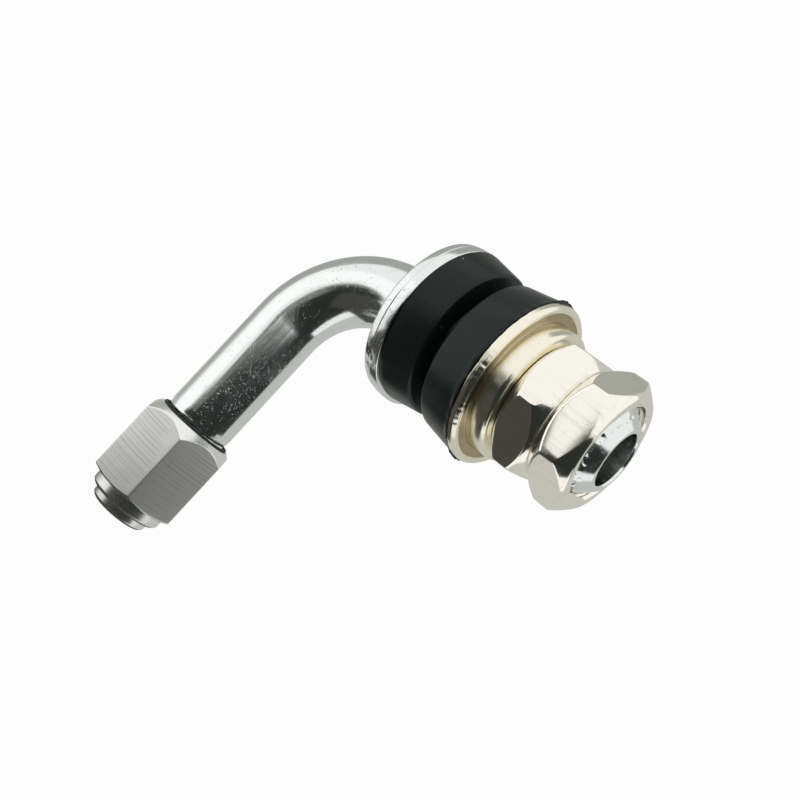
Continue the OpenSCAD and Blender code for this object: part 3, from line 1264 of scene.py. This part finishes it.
@dataclass
class Grommet(Assembly):
    """Rubber discs either side of the rim groove, with the ragged flash at the washer."""

    piece: bpy.types.Object | None = None
    groove_half: float = 0.85
    groove_radius: float = 5.75
    back_radius: float = 8.95
    front_radius: float = 9.04
    back_shift: float = 0.25
    front_shift: float = 0.06
    shift_angle: float = math.radians(185.0)
    taper: float = 0.6
    bore: float = 5.03
    lip_height: float = 0.5
    lip_flare: float = 0.2
    flash: float = 0.30
    torn: float = -0.4
    coarse_grain: float = 4.0
    coarse_place: Point = (3.1, 0.4, 7.7)
    fine_grain: float = 17.0
    fine_place: Point = (1.7, 5.2, 0.3)
    fine_share: float = 0.6
    back_flash: float = 0.15
    back_edge: float = 0.12
    disc_edge: float = 0.35
    groove_edge: float = 0.25
    lip_root: float = 0.4
    lip_drop: float = 0.05
    lip_edge: float = 0.06
    face_inset: float = 0.2
    face_edge: float = 0.05
    round_steps: int = 240

    def build(self) -> None:
        """Makes the grommet, whose lip changes round its edge."""
        angles = round_angles(self.round_steps)
        self.piece = skin("rubber_grommet", Leg.NUT.place, angles, self._section, closed=True)
        self.stand_for(self.piece, "grommet", "grommet_rubber")

    def dress(self) -> None:
        """Gives the grommet its rubber."""
        self.coat(self.piece, GROMMET_RUBBER)

    def _ragged(self, angle: float) -> float:
        """Draws the ragged edge of the flash.

        Args:
            angle: Angle round the axis, in radians.

        Returns:
            How far the flash stands out, in millimetres, or less than 0 where it is torn.
        """
        spot = on_circle(angle)
        coarse = noise.noise(spot * self.coarse_grain + Vector(self.coarse_place))
        fine = noise.noise(spot * self.fine_grain + Vector(self.fine_place))
        return self.flash * max(coarse + self.fine_share * fine, self.torn)

    def _section(self, angle: float) -> Section:
        """Draws the closed section at an angle.

        Args:
            angle: Angle round the axis, in radians.

        Returns:
            The section's points, as radius and station in millimetres.
        """
        bottom = low("grommet").z
        top = high("grommet").z
        aside = math.cos(angle - self.shift_angle)
        back = self.back_radius + self.back_shift * aside
        front = self.front_radius + self.front_shift * aside
        ragged = self._ragged(angle)
        corners = [
            Corner(self.bore, bottom),
            Corner(back + self.back_flash * ragged, bottom, self.back_edge),
            Corner(back - self.taper, -self.groove_half, self.disc_edge),
            Corner(self.groove_radius, -self.groove_half, self.groove_edge),
            Corner(self.groove_radius, self.groove_half, self.groove_edge),
            Corner(front - self.taper, self.groove_half, self.disc_edge),
            Corner(front, top - self.lip_height, self.lip_root),
            Corner(front + self.lip_flare + ragged, top - self.lip_drop, self.lip_edge),
            Corner(front - self.face_inset, top, self.face_edge),
            Corner(self.bore, top),
        ]
        return rounded(corners, closed=True)


@dataclass
class HatWasher(Assembly):
    """Washer with a raised collar under the inner nut, and a channel round the collar's foot."""

    piece: bpy.types.Object | None = None
    brim_radius: float = 9.1
    brim_height: float = 0.9
    bevel: float = 0.3
    collar_radius: float = 7.3
    shoulder: float = 0.5
    bore: float = 5.2
    channel_radius: float = 8.45
    channel_side: float = 0.25
    channel_depth: float = 0.35
    channel_round: float = 0.3
    nick: float = 0.12
    nick_angle: float = math.radians(-60.0)
    nick_fade: int = 4
    nick_grain: float = 24.0
    fine_edge: float = 0.1
    rim_edge: float = 0.12
    brim_edge: float = 0.15
    channel_edge: float = 0.2
    foot_gap: float = 0.03
    edge_steps: int = 8
    round_steps: int = 360

    def build(self) -> None:
        """Makes the washer."""
        angles = round_angles(self.round_steps)
        self.piece = skin("hat_washer", Leg.NUT.place, angles, self._section, closed=True)
        self.stand_for(self.piece, "flange_washer", "washer_nickel")

    def dress(self) -> None:
        """Plates the washer, with a rougher nickel in the channel whose darker colour is painted
        shade.
        """
        # The channel's faces get the nickel with painted shade in its colour
        self.coat(self.piece, NICKEL, CHANNEL_SHADE_NICKEL)
        for face in self.piece.data.polygons:
            face.material_index = int(self._in_channel(face))

    def _in_channel(self, face: bpy.types.MeshPolygon) -> bool:
        """Tells the faces of the channel from the others.

        Args:
            face: A face of the washer.

        Returns:
            True for the channel's floor and the foot of its sides.
        """
        radius = math.hypot(face.center.x, face.center.y) / MM
        brim = low("flange_washer").z + self.brim_height
        outer = self.channel_radius - self.channel_side / 2
        inner = self.collar_radius + self.foot_gap
        sunk = brim - face.center.z / MM
        return inner < radius < outer and 0 < sunk < self.brim_height / 2

    def _section(self, angle: float) -> Section:
        """Draws the closed section at an angle, with the nicks in its edge.

        Args:
            angle: Angle round the axis, in radians.

        Returns:
            The section's points, as radius and station in millimetres.
        """
        bottom = low("flange_washer").z
        top = high("flange_washer").z
        brim = bottom + self.brim_height
        channel = brim - self.channel_depth
        worn = max(math.cos(angle - self.nick_angle), 0.0) ** self.nick_fade
        bite = max(noise.noise(on_circle(angle) * self.nick_grain), 0.0)
        edge = self.brim_radius - self.nick * worn * bite
        corners = [
            Corner(self.bore, bottom, self.fine_edge),
            Corner(self.brim_radius, bottom, self.rim_edge),
            Corner(self.brim_radius, bottom + self.bevel, self.fine_edge),
            Corner(edge, brim - self.bevel, self.rim_edge),
            Corner(edge - self.bevel, brim, self.brim_edge),
            Corner(self.channel_radius, brim, self.fine_edge),
            Corner(self.channel_radius - self.channel_side, channel, self.channel_edge),
            Corner(self.collar_radius, channel, self.channel_round),
            Corner(self.collar_radius, top, self.shoulder),
            Corner(self.bore, top, self.fine_edge),
        ]
        return rounded(corners, closed=True, steps=self.edge_steps)


@dataclass
class JamNut(Assembly):
    """Hexagon nut with deep chamfers, which leave lens-shaped flats."""

    name: str
    node: str
    turn: float
    piece: bpy.types.Object | None = None
    across_flats: float = 13.0
    face_radius: float = 6.1
    chamfer: float = 1.4
    bore: float = 5.06
    sink: float = 0.3
    edge: float = 0.22
    corner_edge: float = 0.35
    sink_edge: float = 0.08
    pitch: float = 1.0
    thread_depth: float = 0.4
    thread_gap: float = 0.1
    thread_steps: int = 8

    def build(self) -> None:
        """Makes the nut with its thread."""
        hexagon = Hexagon(self.across_flats, math.radians(self.turn), self.corner_edge)
        bottom = low(self.node).z
        top = high(self.node).z
        slope = self.chamfer / (hexagon.corner_radius - self.face_radius)
        start = bottom + self.thread_gap
        stop = top - self.thread_gap
        thread = Thread(self.bore, start, stop, self.pitch, -self.thread_depth)
        first = bottom + self.sink
        last = top - self.sink
        inside = [s for s in reversed(thread.stations(self.thread_steps)) if first < s < last]

        def section_at(angle: float) -> Section:
            """Draws the closed section at an angle, with the thread cut.

            Args:
                angle: Angle round the axis, in radians.

            Returns:
                The section's points, as radius and station in millimetres.
            """
            reach = hexagon.radius(angle)
            drop = (reach - self.face_radius) * slope
            corners = [
                Corner(self.bore, first),
                Corner(self.bore + self.sink, bottom, self.sink_edge),
                Corner(self.face_radius, bottom, self.edge),
                Corner(reach, bottom + drop, self.edge),
                Corner(reach, top - drop, self.edge),
                Corner(self.face_radius, top, self.edge),
                Corner(self.bore + self.sink, top, self.sink_edge),
                Corner(self.bore, last),
            ]
            section = rounded(corners) + [(self.bore, s) for s in inside]
            return [(thread.shape(radius, angle, station), station) for radius, station in section]

        self.piece = skin(self.name, Leg.NUT.place, hexagon.angles(), section_at, closed=True)
        self.stand_for(self.piece, self.node, "nut_nickel")

    def dress(self) -> None:
        """Plates the nut."""
        self.coat(self.piece, DRAWN_NICKEL)


@dataclass
class DustCap(Assembly):
    """Hexagon cap with a chamfered mouth, a neck and an end boss, and the ring at its mouth."""

    piece: bpy.types.Object | None = None
    ring: bpy.types.Object | None = None
    across_flats: float = 10.0
    corner_angle: float = -36.0
    mouth_ring: float = 4.6
    mouth_chamfer: float = 1.4
    back_ring: float = 4.75
    back_chamfer: float = 0.5
    bore: float = 3.93
    neck_radius: float = 4.3
    neck_length: float = 1.4
    boss_radius: float = 3.4
    bevel: float = 0.3
    roof: float = 2.5
    edge: float = 0.12
    mouth_sink: float = 0.42
    mouth_sink_depth: float = 0.35
    ring_sunk: float = 0.13
    ring_squeeze: float = 0.75
    ring_uneven: float = 0.06
    ring_grain: float = 3.0
    ring_height: float = 0.5
    ring_steps: int = 20
    axis_gap: float = 0.02
    fine_edge: float = 0.05
    turned_edge: float = 0.1
    boss_root: float = 0.15
    mouth_step: float = 0.07
    pitch: float = INCH / 32
    thread_depth: float = 0.35
    thread_lead: float = 0.5
    thread_end: float = 0.6
    thread_steps: int = 8
    flat_lean: float = 0.2
    round_steps: int = 128

    def build(self) -> None:
        """Makes the cap and its ring."""
        self.piece = self._cap()
        self.stand_for(self.piece, "cap", "cap_metal")
        angles = round_angles(self.round_steps)
        self.ring = skin("mouth_ring", Leg.CAP.place, angles, self._ring_section, closed=True)
        self.stand_for(self.ring, "cap_o_ring", "seal_rubber")

    def dress(self) -> None:
        """Gives the cap its milled flats and turned ends, and its seals their rubber."""
        self.coat(self.piece, SATIN_CAP, TURNED_CAP)
        for face in self.piece.data.polygons:
            face.material_index = 0 if self._on_flats(face) else 1
        self.coat(self.ring, SEAL_RUBBER)
        self.coat(frame["nodes"]["cap_seal"], SEAL_RUBBER)

    def _on_flats(self, face: bpy.types.MeshPolygon) -> bool:
        """Tells the faces of the hexagon from those of the turned ends.

        Args:
            face: A face of the cap.

        Returns:
            True for the hexagon's flats and corners.
        """
        out = math.hypot(face.center.y, face.center.z - LEG_Z * MM)
        flats = (self.across_flats / 2 - self.edge) * MM
        return abs(face.normal.x) < self.flat_lean and out > flats

    def _cap(self) -> bpy.types.Object:
        """Sweeps the cap's section round the cap leg.

        Returns:
            The cap.
        """
        hexagon = Hexagon(self.across_flats, math.radians(self.corner_angle))
        mouth = low("cap").x
        end = high("cap").x
        floor = end - self.roof
        neck = floor + self.neck_length
        corner = hexagon.corner_radius
        mouth_slope = self.mouth_chamfer / (corner - self.mouth_ring)
        back_slope = self.back_chamfer / (corner - self.back_ring)
        start = mouth + self.thread_lead
        stop = floor - self.thread_end
        thread = Thread(self.bore, start, stop, self.pitch, -self.thread_depth)

        def section_at(angle: float) -> Section:
            """Draws the open section at an angle, from the end boss round the mouth to the floor.

            Args:
                angle: Angle round the axis, in radians.

            Returns:
                The section's points, as radius and station in millimetres.
            """
            reach = hexagon.radius(angle)
            corners = [
                Corner(self.axis_gap, end),
                Corner(self.boss_radius - self.bevel, end, self.turned_edge),
                Corner(self.boss_radius, end - self.bevel, self.turned_edge),
                Corner(self.boss_radius, neck, self.boss_root),
                Corner(self.neck_radius - self.bevel, neck, self.turned_edge),
                Corner(self.neck_radius, neck - self.bevel, self.turned_edge),
                Corner(self.neck_radius, floor, self.turned_edge),
                Corner(self.back_ring, floor, self.fine_edge),
                Corner(reach, floor - (reach - self.back_ring) * back_slope, self.edge),
                Corner(reach, mouth + (reach - self.mouth_ring) * mouth_slope, self.edge),
                Corner(self.mouth_ring, mouth, self.turned_edge),
                Corner(self.bore + self.mouth_sink, mouth, self.fine_edge),
                Corner(self.bore + self.mouth_step, mouth + self.mouth_sink_depth),
                Corner(self.bore, mouth + self.mouth_sink_depth),
            ]
            section = rounded(corners)
            section += [(self.bore, s) for s in thread.stations(self.thread_steps)]
            section += [(self.bore, floor), (self.axis_gap, floor)]
            return [(thread.shape(radius, angle, station), station) for radius, station in section]

        return skin("dust_cap", Leg.CAP.place, hexagon.angles(), section_at, closed=False)

    def _ring_section(self, angle: float) -> Section:
        """Draws the ring's round section, a little uneven as squeezed rubber is.

        Args:
            angle: Angle round the axis, in radians.

        Returns:
            The section's points, as radius and station in millimetres.
        """
        spot = on_circle(angle, self.ring_height)
        half = (high("cap_o_ring").x - low("cap_o_ring").x) / 2
        centre = high("cap_o_ring").x - half + self.ring_sunk
        middle = outer_radius("cap_o_ring") - half
        uneven = self.ring_uneven * noise.noise(spot * self.ring_grain)
        wire = half * (self.ring_squeeze + uneven)
        turns = round_angles(self.ring_steps)
        return [(middle + wire * math.cos(a), centre + wire * math.sin(a)) for a in turns]


@dataclass
class ValveCore(Assembly):
    """The core inside the mouth: a spring that the pin squeezes, and CAD solids that stay."""

    spring: bpy.types.Object | None = None
    wire_radius: float = 0.125
    coil_radius: float = 0.89
    coil_turns: float = 5.5
    turn_steps: int = 24
    wire_sides: int = 12
    pin_travel: float = 1.6

    def build(self) -> None:
        """Winds the spring and reports the solids that stay."""
        self.spring = self._coil()
        self.stand_for(self.spring, "core_spring", "spring_steel")
        self._squeeze()
        for node in self._finishes():
            LOG.info("%s keeps its CAD solid", node)

    def dress(self) -> None:
        """Gives the spring and each solid of the core its finish."""
        self.coat(self.spring, SPRING_WIRE)
        for node, finish in self._finishes().items():
            self.coat(frame["nodes"][node], finish)

    def _coil(self) -> bpy.types.Object:
        """Winds round wire from the barrel's ledge to the pin's collar.

        Returns:
            The spring.
        """
        first = low("core_spring").x + self.wire_radius
        rise = high("core_spring").x - self.wire_radius - first
        sweep = self.coil_turns * FULL_TURN
        lead = math.atan2(rise, sweep * self.coil_radius)
        rings = round(self.coil_turns * self.turn_steps)
        points: list[Point] = []
        for ring in range(rings + 1):
            share = ring / rings
            for side in round_angles(self.wire_sides):
                radius = self.coil_radius + self.wire_radius * math.cos(side)
                across = self.wire_radius * math.sin(side)
                angle = sweep * share - across * math.sin(lead) / radius
                along = first + rise * share + across * math.cos(lead)
                points.append(Leg.CAP.place(radius, angle, along))
        faces: list[tuple[int, ...]] = []
        for ring in range(rings):
            here = ring * self.wire_sides
            there = here + self.wire_sides
            for j in range(self.wire_sides):
                k = (j + 1) % self.wire_sides
                faces.append((here + j, here + k, there + k, there + j))
        faces.append(tuple(reversed(range(self.wire_sides))))
        faces.append(tuple(rings * self.wire_sides + j for j in range(self.wire_sides)))
        return shell("coil_spring", points, faces)

    def _squeeze(self) -> None:
        """Reads the ledge and the spring's length, and gives the spring a mesh of its own."""
        ledge = low("core_spring").x
        length = high("core_spring").x - ledge
        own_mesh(self.spring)

    @staticmethod
    def _finishes() -> dict[str, Finish]:
        """Lists the finish of each solid that stays.

        Returns:
            The finishes, by the names of their nodes.
        """
        return {
            "core_head": BRASS,
            "core_barrel": BRASS,
            "core_pin": BRASS,
            "core_cup": BRASS,
            "core_gasket": RED_GASKET,
            "core_seat_seal": SEAL_RUBBER,
        }


@dataclass(frozen=True)
class Card:
    """A flat card that shows only in reflections.

    Its corners are given from the camera: right and down from the view's centre and ahead of the
    camera, in millimetres.
    """

    name: str
    corners: tuple[Point, ...]
    colour: Colour

    @classmethod
    def facing(
        cls, name: str, ahead: float, outline: Sequence[tuple[float, float]], colour: Colour
    ) -> "Card":
        """A card square to the view, from its outline to the right and down."""
        return cls(name, tuple((right, down, ahead) for right, down in outline), colour)


@dataclass
class Studio:
    """White floor, soft lamp, reflection cards, white surroundings and camera."""

    floor_z: float = -0.30
    floor_size: float = 8.0
    lens: float = 40.545
    sensor_width: float = 36.0
    clip_start: float = 0.001
    camera_place: Point = (0.01510, -0.07895, 0.04256)
    camera_right: Point = (-0.6704, 0.3270, 0.6664)
    camera_up: Point = (-0.7384, -0.3830, -0.5548)
    softbox: Point = (-160.0, -133.0, 42.0)
    softbox_size: float = 0.16
    softbox_power: float = 0.014
    world_strength: float = 0.98
    cards: tuple[Card, ...] = (
        Card.facing(
            "dark_front_card",
            ahead=0.0,
            outline=(
                (-300, -10), (-130, -48), (-70, -48), (-20, -12), (10, 4), (30, 17), (60, 36),
                (90, 56), (150, 98), (330, 240), (330, 420), (-300, 420),
            ),
            colour=DARK_CARD,
        ),
        Card(
            "dark_right_card",
            corners=((330, 230, 0), (230, 330, 0), (230, 330, 165), (330, 230, 165)),
            colour=DARK_CARD,
        ),
        Card.facing(
            "dim_front_card",
            ahead=-6.0,
            outline=((-300, -34), (-130, -70), (-95, -70), (-72, -50), (-72, 420), (-300, 420)),
            colour=(0.22, 0.24, 0.215),
        ),
        Card.facing(
            "dim_tube_card",
            ahead=40.0,
            outline=(
                (-52, -27), (-49, -36), (-46, -42), (-45, -56), (-35, -56), (-31, -32), (-31, -26),
                (-33, -20), (-37, -15), (-48, -18),
            ),
            colour=(0.19, 0.205, 0.185),
        ),
        Card.facing(
            "dusk_tube_card",
            ahead=-3.0,
            outline=(
                (-51, -30), (-51, -43), (-47, -49), (-38, -49), (-26, -37), (-14, -29), (0, -13),
                (14, -1), (28, 8), (30, 18), (10, 6), (-20, -10),
            ),
            colour=(0.115, 0.125, 0.112),
        ),
        Card.facing(
            "pale_back_card",
            ahead=170.0,
            outline=((-260, -320), (260, -320), (420, 200), (420, 460), (-260, 460)),
            colour=(0.56, 0.57, 0.54),
        ),
        Card.facing(
            "grey_back_card",
            ahead=165.0,
            outline=((-150, -320), (140, -320), (140, -60), (40, -40), (-120, -40)),
            colour=(0.38, 0.40, 0.37),
        ),
        Card(
            "dark_side_card",
            corners=((-37, 47, 30), (-37, 47, 150), (-64, -4, 150), (-64, -4, 30)),
            colour=(0.060, 0.058, 0.054),
        ),
    )

    def build(self) -> None:
        """Sets up the stage, the light and the camera."""
        bpy.context.scene.view_settings.view_transform = "Standard"
        self._floor()
        for card in self.cards:
            self._card(card)
        self._softbox()
        self._world()
        self._camera()

    @property
    def _axes(self) -> tuple[Vector, Vector, Vector]:
        """The camera's right, up and back directions.

        Returns:
            Three unit directions, square to each other.
        """
        right = Vector(self.camera_right).normalized()
        back = right.cross(Vector(self.camera_up)).normalized()
        return right, back.cross(right), back

    def _floor(self) -> None:
        """A wide white floor well under the part, which is held by its rim seat."""
        half = self.floor_size / 2
        corners = [(-half, -half), (half, -half), (half, half), (-half, half)]
        floor = self._flat("floor", [(x, y, self.floor_z) for x, y in corners])
        shader = self._matt(floor)
        shader.inputs["Base Color"].default_value = rgba(WHITE)

    def _seen(self, right_by: float, down_by: float, depth: float) -> Vector:
        """A place in metres from its millimetres right, down and ahead of the camera."""
        right, up, back = self._axes
        return Vector(self.camera_place) + (right * right_by - up * down_by - back * depth) * MM

    def _card(self, card: Card) -> None:
        """Places a card where it shows only in the metal.

        Args:
            card: The card to place.
        """
        made = self._flat(card.name, [tuple(self._seen(*corner)) for corner in card.corners])
        shader = self._matt(made)
        shader.inputs["Base Color"].default_value = rgba(BLACK)
        shader.inputs["Emission Color"].default_value = rgba(card.colour)
        shader.inputs["Emission Strength"].default_value = 1.0
        made.visible_camera = False
        made.visible_diffuse = False
        made.visible_shadow = False
        made.visible_transmission = False

    @staticmethod
    def _flat(name: str, points: list[Point]) -> bpy.types.Object:
        """Makes a flat piece of the stage.

        Args:
            name: Name of the new object.
            points: Its corners in order, in metres.

        Returns:
            The new object.
        """
        mesh = bpy.data.meshes.new(name)
        mesh.from_pydata(points, [], [tuple(range(len(points)))])
        made = bpy.data.objects.new(name, mesh)
        bpy.context.scene.collection.objects.link(made)
        return made

    @staticmethod
    def _matt(piece: bpy.types.Object) -> bpy.types.Node:
        """Gives a piece of the stage a matt material.

        Args:
            piece: A piece of the stage.

        Returns:
            The material's shader.
        """
        made = bpy.data.materials.new(piece.name)
        made.use_nodes = True
        piece.data.materials.append(made)
        shader = made.node_tree.nodes["Principled BSDF"]
        shader.inputs["Roughness"].default_value = 1.0
        shader.inputs["Specular IOR Level"].default_value = 0.0
        return shader

    def _softbox(self) -> None:
        """A square soft lamp on the side that the photo is lit from."""
        place = self._seen(*self.softbox)
        light = bpy.data.lights.new("softbox", "AREA")
        light.size = self.softbox_size
        light.energy = self.softbox_power
        lamp = bpy.data.objects.new("softbox", light)
        lamp.location = place
        lamp.rotation_euler = (-place).to_track_quat("-Z", "Y").to_euler()
        lamp.visible_camera = False
        bpy.context.scene.collection.objects.link(lamp)

    def _world(self) -> None:
        """White all round, as a light and in reflections."""
        world = bpy.data.worlds.new("studio")
        world.use_nodes = True
        back = world.node_tree.nodes["Background"]
        back.inputs["Color"].default_value = rgba(WHITE)
        back.inputs["Strength"].default_value = self.world_strength
        bpy.context.scene.world = world

    def _camera(self) -> None:
        """The camera at the photo's place, turned as the photo is."""
        turn = Matrix(self._axes).transposed().to_4x4()
        data = bpy.data.cameras.new("camera")
        data.lens = self.lens
        data.sensor_width = self.sensor_width
        data.clip_start = self.clip_start
        camera = bpy.data.objects.new("camera", data)
        camera.matrix_world = Matrix.Translation(Vector(self.camera_place)) @ turn
        bpy.context.scene.collection.objects.link(camera)
        bpy.context.scene.camera = camera


def main() -> None:
    """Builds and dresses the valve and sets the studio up."""
    logging.basicConfig(level=logging.INFO, format="%(name)s: %(message)s")
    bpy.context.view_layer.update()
    effects = Effects()
    assemblies: list[Assembly] = [
        BentStem(effects),
        Grommet(effects),
        HatWasher(effects),
        JamNut(effects, "inner_jam_nut", "inner_nut", turn=45.0),
        JamNut(effects, "lock_jam_nut", "lock_nut", turn=8.0),
        DustCap(effects),
        ValveCore(effects),
    ]
    for assembly in assemblies:
        assembly.build()
        assembly.dress()
    Studio().build()


if __name__ == "__main__":
    main()
